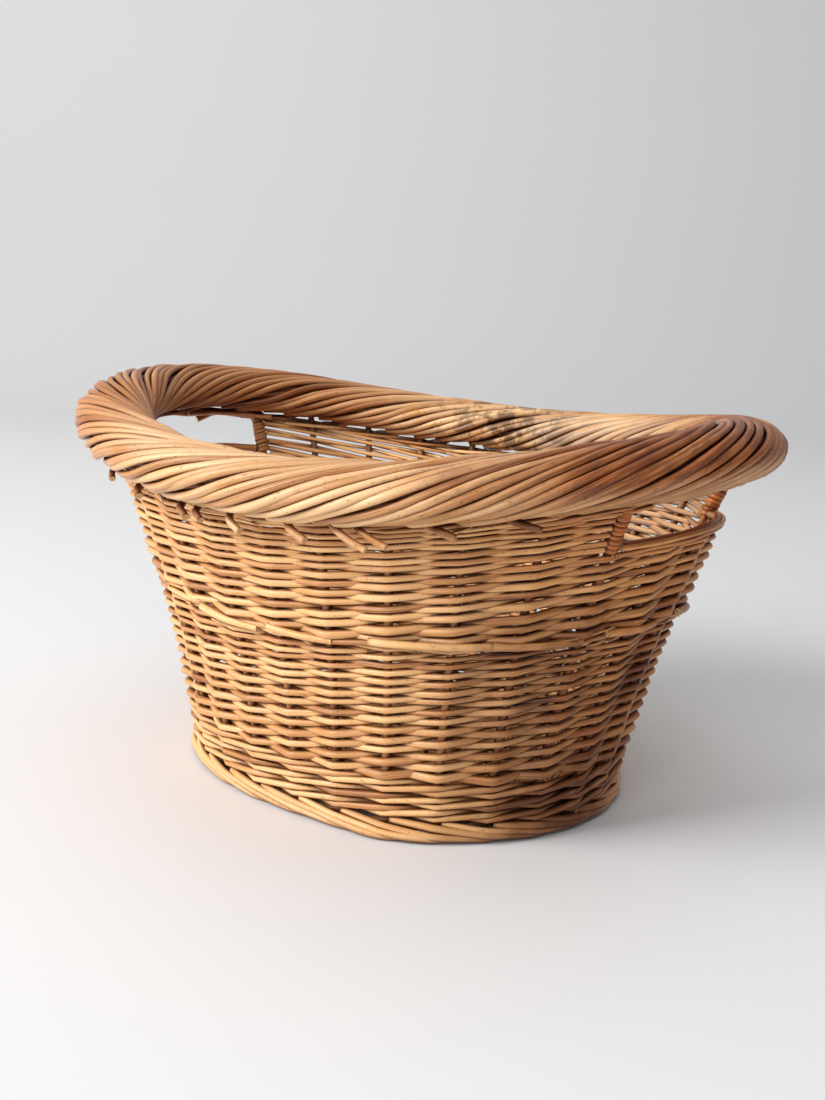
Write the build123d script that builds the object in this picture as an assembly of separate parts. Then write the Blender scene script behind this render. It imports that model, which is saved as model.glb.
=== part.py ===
from build123d import *
from bisect import bisect_right
from itertools import accumulate
import math
import os

# Oval willow market basket with a heavy rolled border and two hand holes.
# Frame: millimetres, +Z up, +X along the long axis of the oval (right), +Y to
# the back. The origin is at the centre of the underside of the foot, on z = 0.
# A place on the perimeter is a fraction u of the oval's length: u = 0 on +X,
# growing anticlockwise seen from above. A depth is measured horizontally
# inward from the outer surface of the wall.

# Outer surface of the woven wall
BASE_A, BASE_B = 193.4, 146.8        # half length and half width at z = 0
TOP_A, TOP_B = 284.4, 202.7          # the same at z = WALL_REF
WALL_REF = 271.0
WALL_BOW = -8.4                      # the wall is slightly hollow at mid height
EXP_BASE, EXP_TOP = 2.12, 2.0        # superellipse exponents
OUTLINE_STEPS = 720                  # straight lengths in a measured outline

# Rolled border
RIM_A, RIM_B = 277.4, 195.7          # centre line of the border
RIM_EXP = 2.0
RIM_Z, RIM_SADDLE = 284.2, 15.7      # centre height, ends high and sides low
RIM_LOW = RIM_Z - RIM_SADDLE
RIM_RX, RIM_RZ = 32.7, 22.2          # half section, radial and vertical
BORDER_ROD_D = 5.7
BORDER_GROUPS = 28
RODS_PER_GROUP = 3
WRAP_LENGTH = 400.0                  # rim length for one full turn of a rod
WRAP_START, WRAP_END = -62, 238      # whole degrees of the section a rod covers
WRAP_STEPS = 12                      # straight lengths in one border rod
CORE_CLEAR = 2.0                     # space between the rods and the packed core
CORE_RX = RIM_RX - BORDER_ROD_D - CORE_CLEAR
CORE_RZ = RIM_RZ - BORDER_ROD_D - CORE_CLEAR
CORE_STEPS = 16                      # loft steps in half of the core

# Stakes
STAKE_D, POST_D = 6.6, 7.2
STAKE_IN = 8.5                       # depth of the stake centres
STAKE_CORE_GAP = 1.0                 # full stakes end this far below the core
STAKE_SILL_GAP = 1.0                 # short stakes end this far below the sill level
STICK_Z = 20.6                       # centre height of base sticks and stake roots
# Bend at the foot of a stake: height above STICK_Z, depth beyond STAKE_IN
STAKE_ROOT = ((0.0, 26.0), (0.0, 12.0), (2.4, 4.6), (8.0, 0.8))
STAKE_STAND = 18.0                   # height above STICK_Z where it stands in the wall
STAND_STEPS = 4

# Perimeter layout
LEFT_U = 0.5                         # middle of the left end
POST_U = 0.0665                      # hand-hole posts either side of each end
SIDE_STEP = 0.0367                   # spacing of the stakes on a long side
SIDE_COUNT = 9
SHORT_U = 0.03325                    # short stakes under a hand hole
POSTS = {
    "right_back": POST_U,
    "right_front": -POST_U,
    "left_back": LEFT_U - POST_U,
    "left_front": LEFT_U + POST_U,
}
SIDE_BACK = [POST_U + SIDE_STEP * (k + 1) for k in range(SIDE_COUNT)]
SIDE_FRONT = [-u for u in SIDE_BACK]

# Weave. A band is two skins with the stakes between them: the strokes outside
# the stakes and the strokes inside. A skin is given by its two depths.
SHELL = 17.0                         # weaver, stake and weaver through the wall
SKIN_GAP = 0.9                       # between a skin and the stakes
OUTER = (0.0, STAKE_IN - STAKE_D / 2 - SKIN_GAP)
INNER = (STAKE_IN + STAKE_D / 2 + SKIN_GAP, SHELL)
# Low in the wall the stakes lean in towards their roots
INNER_LOW = (STAKE_IN + STAKE_D / 2 + 2.3, SHELL + 0.6)
BEND_CLEAR = 0.8                     # more room inside where the stakes turn up
BAND_STEPS = 10                      # loft steps in one span of a band
GAP = 0.4                            # between one band and the next
UPSETT_TOP = 48.6                    # where the border centre is at RIM_LOW
UPSETT_ROWS = 3
MID_T = 0.567                        # level of the join between the two bands
MID_WALE_T = 0.014                   # half height of the waling at the join
SILL_T = 0.798                       # level of the hand-hole sills
TOP_WALE_H = 6.4                     # height of the waling under the border
TOP_WALE_GAP = 0.8                   # between that waling and the border
PANEL_EDGE_U = 0.0045                # from a post centre to the edge of a panel

# Foot
FOOT_H = 12.6
FOOT_OUTLINE_Z = 4.0                 # the foot follows the wall outline here
FOOT_DEPTHS = (0.6, 17.5)
FOOT_CHAMFER = 3.6
FOOT_POINTS = 40

# Hand-hole sills and coil wraps on the posts
SILL_D = 6.6
SILL_GAP = 0.5                       # between the sill level and the sill
SILL_END_U = 0.0075                  # from a post centre to the end of a sill
SILL_STEPS = 8
WRAP_R, WRAP_BORE = 6.1, 4.0         # close coil of split willow, as one sleeve
WRAP_ABOVE_SILL = 3.5                # above the sill level
WRAP_BELOW_BORDER = 1.5

# Base
CROSS_D, LONG_D, BASE_ROD = 9.0, 5.4, 3.0
CROSS_STEP, LONG_STEP = 20.0, 11.0
SLATH_X, SLATH_Y = 90.0, 30.0        # half size of the crossing of the sticks
SLATH_HALF_X, SLATH_HALF_Y = 100.0, 36.0  # half size of the opening in the base weave
CROSS_BEND = 4.0                     # cross sticks fan out this far beyond SLATH_Y
CROSS_END_DEPTH = STAKE_IN + 29.5
STRAIGHT_LIMIT = 2.0                 # a smaller sideways shift gives a straight stick
SPLIT_SHORT = 2.0                    # a split ends this far inside SLATH_Y
SPLIT_CLEAR = 0.2                    # above and below the long sticks
SPLIT_OVER = 3.0                     # split cutter beyond either side of the stick
LONG_END_DEPTH = SHELL + 34.0
LONG_END_STEP = 3.0                  # more depth for each stick from the middle
PLATE_DEPTH = SHELL + 0.8            # edge of the base weave
PLATE_GAP = 0.3                      # between the base weave and the cross sticks


# ------------------------------------------------------- ovals and heights --

def running_lengths(points):
    return list(accumulate(map(math.dist, points, points[1:]), initial=0.0))


def locate(lengths, s):
    """Index of the piece that holds running length s, and the fraction along it."""
    i = bisect_right(lengths, s, 1, len(lengths) - 1) - 1
    return i, (s - lengths[i]) / (lengths[i + 1] - lengths[i])


def superellipse_point(a, b, n, angle):
    c, s = math.cos(angle), math.sin(angle)
    return (a * math.copysign(abs(c) ** (2 / n), c),
            b * math.copysign(abs(s) ** (2 / n), s))


outlines = {}


def outline(key, a, b, n):
    """Points and running lengths of an oval, kept under its key."""
    if key not in outlines:
        points = [superellipse_point(a, b, n, 2 * math.pi * i / OUTLINE_STEPS)
                  for i in range(OUTLINE_STEPS + 1)]
        outlines[key] = (points, running_lengths(points))
    return outlines[key]


def on_oval(key, a, b, n, u):
    """Point and outward normal at perimeter fraction u."""
    points, lengths = outline(key, a, b, n)
    i, f = locate(lengths, (u % 1.0) * lengths[-1])
    p, q = points[i], points[i + 1]
    x, y = p[0] + (q[0] - p[0]) * f, p[1] + (q[1] - p[1]) * f
    normal_x = math.copysign(abs(x / a) ** (n - 1), x) / a
    normal_y = math.copysign(abs(y / b) ** (n - 1), y) / b
    size = math.hypot(normal_x, normal_y)
    return x, y, normal_x / size, normal_y / size


def axes_at(z):
    """Half length, half width and exponent of the wall at height z."""
    t = z / WALL_REF
    bow = WALL_BOW * 4 * t * (1 - t)
    a = BASE_A + (TOP_A - BASE_A) * t + bow
    b = BASE_B + (TOP_B - BASE_B) * t + bow
    return a, b, EXP_BASE + (EXP_TOP - EXP_BASE) * min(max(t, 0), 1)


def on_wall(u, z):
    # outlines are shared between heights that agree to 0.01 mm
    return on_oval(round(z, 2), *axes_at(z), u)


def wall(u, z, depth=0.0):
    x, y, normal_x, normal_y = on_wall(u, z)
    return x - normal_x * depth, y - normal_y * depth, z


def on_rim(u):
    return on_oval("rim", RIM_A, RIM_B, RIM_EXP, u)


def rim_z(u):
    x, y, _, _ = on_rim(u)
    return RIM_Z + RIM_SADDLE * math.cos(2 * math.atan2(y / RIM_B, x / RIM_A))


def level(share, u):
    """Height at a share of the border's height, so that it follows the saddle."""
    return share * rim_z(u)


# -------------------------------------------------------- rods and stakes --

def round_rod(points, diameter, side_at):
    """Ruled loft of circles; side_at(point, tangent) gives each circle's x direction."""
    centres = [Vector(p) for p in points]
    last = len(centres) - 1
    sections = []
    for i, p in enumerate(centres):
        tangent = (centres[min(i + 1, last)] - centres[max(i - 1, 0)]).normalized()
        plane = Plane(origin=p, x_dir=side_at(p, tangent), z_dir=tangent)
        sections.append(Wire.make_circle(diameter / 2, plane))
    return Solid.make_loft(sections, True)


def upward_side(point, tangent):
    side = Vector(0, 0, 1) - tangent * tangent.Z
    if side.length < 0.3:
        # nearly upright: take the direction away from the basket's axis
        radial = Vector(point.X, point.Y, 0)
        side = radial - tangent * radial.dot(tangent)
    return side


def stake(u, z_top, diameter=STAKE_D):
    points = [wall(u, STICK_Z + rise, STAKE_IN + extra) for rise, extra in STAKE_ROOT]
    z = STICK_Z + STAKE_STAND
    points += [wall(u, z + (z_top - z) * i / STAND_STEPS, STAKE_IN)
               for i in range(STAND_STEPS + 1)]
    # the root lies in the base and the rest stands, so the frame follows the bend
    root, bend = points[:2]
    out = Vector(bend[0] - root[0], bend[1] - root[1], 0).normalized()
    across = Vector(-out.Y, out.X, 0)
    return round_rod(points, diameter,
                     lambda p, tangent: (across - tangent * across.dot(tangent)).normalized())


def full_stake(u, diameter=STAKE_D):
    return stake(u, rim_z(u) - CORE_RZ - STAKE_CORE_GAP, diameter)


def short_stakes(centre_u):
    return [stake(u, level(SILL_T, u) - STAKE_SILL_GAP)
            for u in (centre_u - SHORT_U, centre_u, centre_u + SHORT_U)]


# ------------------------------------------------------------ woven bands --

def band_section(u, z_low, z_high, depths):
    # both edges use the normal at mid height
    _, _, normal_x, normal_y = on_wall(u, (z_low + z_high) / 2)
    near, far = depths
    corners = []
    for z, depth in ((z_low, near), (z_high, near), (z_high, far), (z_low, far)):
        x, y, _ = wall(u, z)
        corners.append(Vector(x - normal_x * depth, y - normal_y * depth, z))
    return Wire.make_polygon(corners, close=True)


def span(u0, u1, low, high, depths):
    """Skin from u0 to u1; low and high give the heights of its edges at u."""
    stations = [u0 + (u1 - u0) * i / BAND_STEPS for i in range(BAND_STEPS + 1)]
    return Solid.make_loft([band_section(u, low(u), high(u), depths) for u in stations])


def ring(low, high, depths):
    halves = span(0.0, 0.5, low, high, depths).fuse(span(0.5, 1.0, low, high, depths))
    return halves.solids()[0]


def foot_wire(depth):
    points = [Vector(*wall(i / FOOT_POINTS, FOOT_OUTLINE_Z, depth)[:2], 0.0)
              for i in range(FOOT_POINTS)]
    return Wire([Edge.make_spline(points, periodic=True)])


def foot_border():
    """Thick rolled row under the base, flat where it stands."""
    outer, inner = FOOT_DEPTHS
    foot = Solid.extrude(Face(foot_wire(outer), [foot_wire(inner)]), Vector(0, 0, FOOT_H))
    return foot.chamfer(FOOT_CHAMFER, None, foot.edges()).solids()[0]


def upsett_row(k):
    """Waling row k from the foot; the rows pass from level to saddle-shaped."""
    def edge(z, lean):
        return lambda u: z * (1 - lean) + level(z / RIM_LOW, u) * lean

    row_h = (UPSETT_TOP - FOOT_H) / UPSETT_ROWS
    z_low = FOOT_H + k * row_h + GAP
    low = edge(z_low, k / UPSETT_ROWS)
    high = edge(FOOT_H + (k + 1) * row_h, (k + 1) / UPSETT_ROWS)
    skins = [ring(low, high, OUTER)]
    # only rows above the stake roots have an inner skin
    if z_low > STICK_Z + STAKE_D / 2:
        bend = BEND_CLEAR if k == 1 else 0.0
        skins.append(ring(low, high, (INNER_LOW[0] + bend, INNER_LOW[1])))
    return skins


def lower_low(u):
    return level(UPSETT_TOP / RIM_LOW, u) + GAP


def lower_high(u):
    return level(MID_T - MID_WALE_T, u)


def middle_low(u):
    return lower_high(u) + GAP


def middle_high(u):
    return level(MID_T + MID_WALE_T, u)


def upper_low(u):
    return middle_high(u) + GAP


def upper_high(u):
    return level(SILL_T, u)


def panel_low(u):
    return upper_high(u) + GAP


def panel_high(u):
    return top_wale_low(u) - GAP


def top_wale_low(u):
    return top_wale_high(u) - TOP_WALE_H


def top_wale_high(u):
    return rim_z(u) - RIM_RZ - TOP_WALE_GAP


# --------------------------------------------------------- hand-hole parts --

def sill(centre_u):
    """Thick rod on the heads of the short stakes, post to post."""
    half = POST_U - SILL_END_U
    points = []
    for i in range(SILL_STEPS + 1):
        u = centre_u - half + 2 * half * i / SILL_STEPS
        points.append(wall(u, level(SILL_T, u) + SILL_D / 2 + SILL_GAP, STAKE_IN))
    return round_rod(points, SILL_D, upward_side)


def post_wrap(u):
    bottom = Vector(wall(u, level(SILL_T, u) + WRAP_ABOVE_SILL, STAKE_IN))
    top = Vector(wall(u, rim_z(u) - RIM_RZ - WRAP_BELOW_BORDER, STAKE_IN))
    length = (top - bottom).length
    plane = Plane(origin=bottom, z_dir=(top - bottom).normalized())
    bore = Solid.make_cylinder(WRAP_BORE, length, plane)
    return Solid.make_cylinder(WRAP_R, length, plane).cut(bore).solids()[0]


# -------------------------------------------------------------------- base --

def base_weave_layer(z):
    """Oval plate of strokes, open where the sticks cross."""
    a, b, _ = axes_at(STICK_Z)
    plane = Plane(origin=(0, 0, z))
    rim = Wire([Edge.make_ellipse(a - PLATE_DEPTH, b - PLATE_DEPTH, plane)])
    opening = Wire([Edge.make_ellipse(SLATH_HALF_X, SLATH_HALF_Y, plane)])
    return Solid.extrude(Face(rim, [opening]), Vector(0, 0, BASE_ROD))


def base_weave():
    """A lower and an upper layer with the sticks between."""
    offset = CROSS_D / 2 + PLATE_GAP
    return [base_weave_layer(STICK_Z - offset - BASE_ROD), base_weave_layer(STICK_Z + offset)]


def base_stick(points, diameter):
    """Round stick through points in the plane of the base, with ball corners."""
    centres = [Vector(*p, STICK_Z) for p in points]
    stick = None
    for p, q in zip(centres, centres[1:]):
        part = Solid.make_cylinder(diameter / 2, (q - p).length, Plane(origin=p, z_dir=q - p))
        stick = part if stick is None else stick.fuse(part)
    for p in centres[1:-1]:
        stick = stick.fuse(Solid.make_sphere(diameter / 2, Plane(origin=p)))
    return stick


def cross_stick(k):
    """Split stick k from the right; its ends fan out to the side stakes."""
    x = CROSS_STEP * ((SIDE_COUNT - 1) // 2 - k)
    end_x, end_y, _ = wall(SIDE_BACK[k], STICK_Z, CROSS_END_DEPTH)
    if abs(end_x - x) < STRAIGHT_LIMIT:
        points = [(x, -end_y), (x, end_y)]
    else:
        bend_y = SLATH_Y + CROSS_BEND
        points = [(end_x, -end_y), (x, -bend_y), (x, bend_y), (end_x, end_y)]
    split_y = SLATH_Y - SPLIT_SHORT
    corner = (x - CROSS_D / 2 - SPLIT_OVER, -split_y, STICK_Z - LONG_D / 2 - SPLIT_CLEAR)
    split = Solid.make_box(CROSS_D + 2 * SPLIT_OVER, 2 * split_y, LONG_D + 2 * SPLIT_CLEAR,
                           Plane(origin=corner))
    return base_stick(points, CROSS_D).cut(split).solids()[0]


def long_stick(k):
    """Stick k from the middle, through the splits; its ends fan out."""
    end_u = (0.0, SHORT_U, POST_U)[abs(k)]
    end_x, end_y, _ = wall(end_u, STICK_Z, LONG_END_DEPTH + LONG_END_STEP * abs(k))
    if k == 0:
        points = [(-end_x, 0), (end_x, 0)]
    else:
        y = LONG_STEP * k
        end_y = math.copysign(end_y, k)
        points = [(-end_x, end_y), (-SLATH_X, y), (SLATH_X, y), (end_x, end_y)]
    return base_stick(points, LONG_D).solids()[0]


# ------------------------------------------------------------------ border --

ROD_RX, ROD_RZ = RIM_RX - BORDER_ROD_D / 2, RIM_RZ - BORDER_ROD_D / 2

# Running length round the section, one entry per degree from SECTION_FIRST
SECTION_FIRST = -180
section_lengths = running_lengths(
    [(ROD_RX * math.cos(math.radians(i)), ROD_RZ * math.sin(math.radians(i)))
     for i in range(SECTION_FIRST, 541)])


def rim_point(u, angle):
    """Rod centre on the border section; angle 0 is outward, 90 degrees is up."""
    x, y, normal_x, normal_y = on_rim(u)
    out = ROD_RX * math.cos(angle)
    return x + normal_x * out, y + normal_y * out, rim_z(u) + ROD_RZ * math.sin(angle)


def border_rods():
    """Rods wound round the core, sorted by the quarter that holds their middle."""
    start = section_lengths[WRAP_START - SECTION_FIRST]
    covered = section_lengths[WRAP_END - SECTION_FIRST] - start
    rim_length = outline("rim", RIM_A, RIM_B, RIM_EXP)[1][-1]
    advance = covered / section_lengths[360] * WRAP_LENGTH / rim_length
    names = ("back_right", "back_left", "front_left", "front_right")
    quarters = {name: [] for name in names}
    count = BORDER_GROUPS * RODS_PER_GROUP
    for i in range(count):
        u0 = (i + 0.5) / count
        points = []
        for j in range(WRAP_STEPS + 1):
            f = j / WRAP_STEPS
            degree, part = locate(section_lengths, start + covered * f)
            angle = math.radians(SECTION_FIRST + degree + part)
            points.append(rim_point(u0 + advance * f, angle))
        middle = (u0 + advance / 2) % 1.0
        quarters[names[int(middle * 4)]].append(round_rod(points, BORDER_ROD_D, upward_side))
    return quarters


def core_section(u):
    x, y, normal_x, normal_y = on_rim(u)
    plane = Plane(origin=(x, y, rim_z(u)), x_dir=(normal_x, normal_y, 0),
                  z_dir=(-normal_y, normal_x, 0))
    return Wire([Edge.make_ellipse(CORE_RX, CORE_RZ, plane)])


def border_core():
    back, front = [
        Solid.make_loft([core_section(u0 + 0.5 * i / CORE_STEPS)
                         for i in range(CORE_STEPS + 1)], True)
        for u0 in (0.0, 0.5)]
    return back.fuse(front).solids()[0]


# ------------------------------------------------------------------ pieces --

pieces = {f"hand_hole_post_{place}": [full_stake(u, POST_D)] for place, u in POSTS.items()}
pieces["side_stakes_back"] = [full_stake(u) for u in SIDE_BACK]
pieces["side_stakes_front"] = [full_stake(u) for u in SIDE_FRONT]
pieces["short_stakes_right"] = short_stakes(0.0)
pieces["short_stakes_left"] = short_stakes(LEFT_U)

pieces["foot_border"] = [foot_border()]
for k in range(UPSETT_ROWS):
    pieces[f"upsett_wale_row_{k + 1}"] = upsett_row(k)
for name, low, high, inner in (("lower_randing", lower_low, lower_high, INNER_LOW),
                               ("upper_randing", upper_low, upper_high, INNER)):
    pieces[f"{name}_outer_strokes"] = [ring(low, high, OUTER)]
    pieces[f"{name}_inner_strokes"] = [ring(low, high, inner)]
pieces["middle_wale"] = [ring(middle_low, middle_high, skin) for skin in (OUTER, INNER)]

# Above the sill level the weave runs only from hand hole to hand hole
for face, start_u in (("back", 0.0), ("front", LEFT_U)):
    u0 = start_u + POST_U + PANEL_EDGE_U
    u1 = start_u + 0.5 - POST_U - PANEL_EDGE_U
    for side, skin in (("outer", OUTER), ("inner", INNER)):
        pieces[f"top_panel_{face}_{side}_strokes"] = [span(u0, u1, panel_low, panel_high, skin)]
    pieces[f"top_wale_{face}"] = [span(u0, u1, top_wale_low, top_wale_high, skin)
                                  for skin in (OUTER, INNER)]

pieces["hand_hole_sill_right"] = [sill(0.0)]
pieces["hand_hole_sill_left"] = [sill(LEFT_U)]

pieces["base_weave"] = base_weave()
pieces["base_cross_sticks"] = [cross_stick(k) for k in range(SIDE_COUNT)]
pieces["base_long_sticks"] = [long_stick(k) for k in range(-2, 3)]

for quarter, rods in border_rods().items():
    pieces[f"border_rods_{quarter}"] = rods
pieces["border_core"] = [border_core()]
for place, u in POSTS.items():
    pieces[f"post_wrap_{place}"] = [post_wrap(u)]

os.makedirs("parts", exist_ok=True)
for name, solids in pieces.items():
    shape = solids[0] if len(solids) == 1 else Compound(children=solids)
    export_step(shape, f"parts/{name}.step")
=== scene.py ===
"""Oval willow basket with a thick rolled border and a hand hole under it at each end.

It stands on z = 0, centred on the z axis: the long way is x, right is +x and back is +y.
Shapes are worked out in millimetres; materials, floor, lights and camera are in metres.
A place round the basket is a share of one turn, from 0 at +x through 0.25 at the back, or a
stake coordinate, which counts stakes the same way.
"""
import math
from functools import reduce
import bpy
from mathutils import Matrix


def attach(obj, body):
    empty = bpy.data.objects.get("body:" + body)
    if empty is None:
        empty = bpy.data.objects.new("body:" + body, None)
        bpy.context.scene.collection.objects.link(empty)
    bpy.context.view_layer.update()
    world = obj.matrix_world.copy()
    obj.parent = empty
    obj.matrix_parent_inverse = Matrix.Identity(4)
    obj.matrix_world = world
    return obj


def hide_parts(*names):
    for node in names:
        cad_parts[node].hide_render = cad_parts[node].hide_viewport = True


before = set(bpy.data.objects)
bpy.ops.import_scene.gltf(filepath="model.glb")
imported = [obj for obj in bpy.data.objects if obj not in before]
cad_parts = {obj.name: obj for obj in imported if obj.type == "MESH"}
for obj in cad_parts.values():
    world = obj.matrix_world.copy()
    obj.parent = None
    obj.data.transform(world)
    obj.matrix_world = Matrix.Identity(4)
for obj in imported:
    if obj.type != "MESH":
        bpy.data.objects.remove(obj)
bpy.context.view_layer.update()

from types import SimpleNamespace

import bpy
import numpy as np
from mathutils import Matrix, Vector

RNG = np.random.default_rng(41)
MM = 0.001

# ---------------------------------------------------------------- main sizes
# Wall plan: a superellipse that grows from z = 0 to WALL_REF
BASE_SEMI_X, BASE_SEMI_Y, BASE_POWER = 193.4, 146.8, 2.12
TOP_SEMI_X, TOP_SEMI_Y, TOP_POWER = 284.4, 202.7, 2.0
WALL_REF = 271.0
WALL_BOW = -8.4             # offset of the wall at half height
STAKE_IN = 8.5              # stake line inside the wall surface

# Border: an oval centre line, high at the ends, with an elliptical section
RIM_SEMI_X, RIM_SEMI_Y, RIM_POWER = 277.4, 195.7, 2.0
RIM_Z, RIM_SADDLE = 284.2, 15.7
RIM_LOW = RIM_Z - RIM_SADDLE
RIM_HALF_WIDTH, RIM_HALF_HEIGHT = 32.7, 22.2

# Stakes: shares of a turn
POST_TURN = 0.0665          # from an end of the basket to a hand hole post
SHORT_TURN = POST_TURN / 2
SIDE_STEP = (0.5 - 2 * POST_TURN) / 10
SIDE_STAKES = 9             # between two posts on a long side
STAKE_TOP_DROP = 17.5       # stake tops below the border centre line

# Levels: shares of the rim height
MID_LEVEL, SILL_LEVEL = 0.567, 0.798
STICK_Z = 20.6              # height of the base sticks

OVAL_STEPS = 1440
LEVELS = np.arange(-12.0, 321.0, 3.0)


# ------------------------------------------------------------- curve helpers
def unit(vectors):
    return vectors / np.linalg.norm(vectors, axis=-1, keepdims=True)


def lerp(first, second, share):
    return first * (1 - share) + second * share


def lift_to(plan, z):
    """Plan points (..., 2) with a height added."""
    return np.concatenate([plan, np.broadcast_to(z, plan.shape[:-1])[..., None]], -1)


def run_length(points):
    return np.r_[0, np.cumsum(np.linalg.norm(np.diff(points, axis=0), axis=1))]


def drift(count, rng, spacing, size):
    """Slow random drift along a rod, with a fresh value about every `spacing` samples."""
    knots = max(4, int(count / spacing) + 4)
    values = rng.normal(0, size, knots)
    place = np.linspace(0, knots - 1.001, count)
    i = np.clip(place.astype(int), 0, knots - 2)
    share = place - i
    return lerp(values[i], values[i + 1], share * share * (3 - 2 * share))


def spline(points, count):
    """Smooth curve through the points, resampled evenly by chord length."""
    points = np.asarray(points, float)
    knots = run_length(points)
    place = np.linspace(0, knots[-1], count)
    i = np.clip(np.searchsorted(knots, place, side="right") - 1, 0, len(points) - 2)
    gap = knots[i + 1] - knots[i]
    x = ((place - knots[i]) / gap)[:, None]
    gap = gap[:, None]
    slope = np.gradient(points, knots, axis=0)
    return ((2 * x**3 - 3 * x**2 + 1) * points[i] + (x**3 - 2 * x**2 + x) * gap * slope[i]
            + (-2 * x**3 + 3 * x**2) * points[i + 1] + (x**3 - x**2) * gap * slope[i + 1])


def superellipse(semi_x, semi_y, power, angle):
    cos, sin = np.cos(angle), np.sin(angle)
    return np.stack([semi_x * np.sign(cos) * np.abs(cos) ** (2 / power),
                     semi_y * np.sign(sin) * np.abs(sin) ** (2 / power)], -1)


# ------------------------------------------------------------- wall and rim
def even_oval(semi_x, semi_y, power):
    """Rows of x, y and outward normal, evenly spaced round an oval, and its length."""
    fine = superellipse(semi_x, semi_y, power, np.linspace(0, 2 * np.pi, 4 * OVAL_STEPS + 1))
    run = run_length(fine)
    place = np.linspace(0, 1, OVAL_STEPS + 1) * run[-1]
    x, y = (np.interp(place, run, fine[:, axis]) for axis in (0, 1))
    normal = unit(np.stack([np.sign(x) * np.abs(x / semi_x) ** (power - 1) / semi_x,
                            np.sign(y) * np.abs(y / semi_y) ** (power - 1) / semi_y], -1))
    return np.concatenate([np.stack([x, y], -1), normal], -1), run[-1]


def wall_oval(z):
    """Half sizes and power of the wall plan at height z."""
    rise = z / WALL_REF
    bow = WALL_BOW * 4 * rise * (1 - rise)
    power = BASE_POWER + (TOP_POWER - BASE_POWER) * min(max(rise, 0), 1)
    return (BASE_SEMI_X + (TOP_SEMI_X - BASE_SEMI_X) * rise + bow,
            BASE_SEMI_Y + (TOP_SEMI_Y - BASE_SEMI_Y) * rise + bow, power)


WALL_GRID = np.stack([even_oval(*wall_oval(z))[0] for z in LEVELS])
RIM_OVAL, RIM_LENGTH = even_oval(RIM_SEMI_X, RIM_SEMI_Y, RIM_POWER)


def oval_step(turn):
    """Sample before a place on an oval, and the share of the way to the next."""
    place = np.mod(turn, 1.0) * OVAL_STEPS
    i = np.clip(place.astype(int), 0, OVAL_STEPS - 1)
    return i, (place - i)[..., None]


def rim_frame(turn):
    """Plan point, outward normal and height of the border centre line."""
    i, share = oval_step(turn)
    row = lerp(RIM_OVAL[i], RIM_OVAL[i + 1], share)
    angle = np.arctan2(row[..., 1] / RIM_SEMI_Y, row[..., 0] / RIM_SEMI_X)
    return row[..., 0:2], unit(row[..., 2:4]), RIM_Z + RIM_SADDLE * np.cos(2 * angle)


def rim_height(turn):
    return rim_frame(turn)[2]


def wall(turn, z):
    """Plan point and outward normal of the wall surface."""
    turn, z = np.broadcast_arrays(np.asarray(turn, float), np.asarray(z, float))
    i, share = oval_step(turn)
    level = np.clip((z - LEVELS[0]) / (LEVELS[1] - LEVELS[0]), 0, len(LEVELS) - 1.001)
    j = level.astype(int)
    row = lerp(lerp(WALL_GRID[j, i], WALL_GRID[j, i + 1], share),
               lerp(WALL_GRID[j + 1, i], WALL_GRID[j + 1, i + 1], share), (level - j)[..., None])
    return row[..., 0:2], unit(row[..., 2:4])


def from_stake_line(turn, z, offset):
    """Points `offset` outside the stake line, and the outward normals."""
    plan, normal = wall(turn, z)
    plan = plan + normal * (np.asarray(offset)[..., None] - STAKE_IN)
    return lift_to(plan, z), lift_to(normal, 0.0)


HALF_TURN = ([0.0, SHORT_TURN, POST_TURN]
             + [POST_TURN + SIDE_STEP * (k + 1) for k in range(SIDE_STAKES)]
             + [0.5 - POST_TURN, 0.5 - SHORT_TURN])
STAKES = 2 * len(HALF_TURN)
# a little unevenness in the spacing, as in hand work
WOBBLE = RNG.normal(0, 0.0009, STAKES)
STAKE_TURN = (np.array(HALF_TURN + [0.5 + turn for turn in HALF_TURN] + [1.0])
              + np.r_[WOBBLE, WOBBLE[0]])


def stake_turn(s):
    """Share of a turn at stake coordinate s."""
    k = np.floor(s)
    i = np.mod(k, STAKES).astype(int)
    return lerp(STAKE_TURN[i], STAKE_TURN[i + 1], s - k) + (k - i) / STAKES


def bay(s, z, offset, chord=0.75):
    """Points at stake coordinate s, `offset` outside the stake line, and their normals.
    Between two stakes a rod runs almost straight, so the plan is a soft polygon."""
    k = np.floor(s)
    share = s - k
    i = np.mod(k, STAKES).astype(int)
    start, start_normal = wall(STAKE_TURN[i], z)
    end, end_normal = wall(STAKE_TURN[i + 1], z)
    arc, _ = wall(lerp(STAKE_TURN[i], STAKE_TURN[i + 1], share), z)
    share = share[..., None]
    normal = unit(lerp(start_normal, end_normal, share))
    plan = lerp(start, end, share) * chord + arc * (1 - chord)
    return lift_to(plan + normal * (offset[..., None] - STAKE_IN), z), lift_to(normal, 0.0)


# ----------------------------------------------------------------- materials
def srgb(*channels):
    """Linear RGBA from 0-255 sRGB channels."""
    shares = [c / 255.0 for c in channels]
    return (*(c / 12.92 if c <= 0.04045 else ((c + 0.055) / 1.055) ** 2.4 for c in shares), 1.0)


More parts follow.
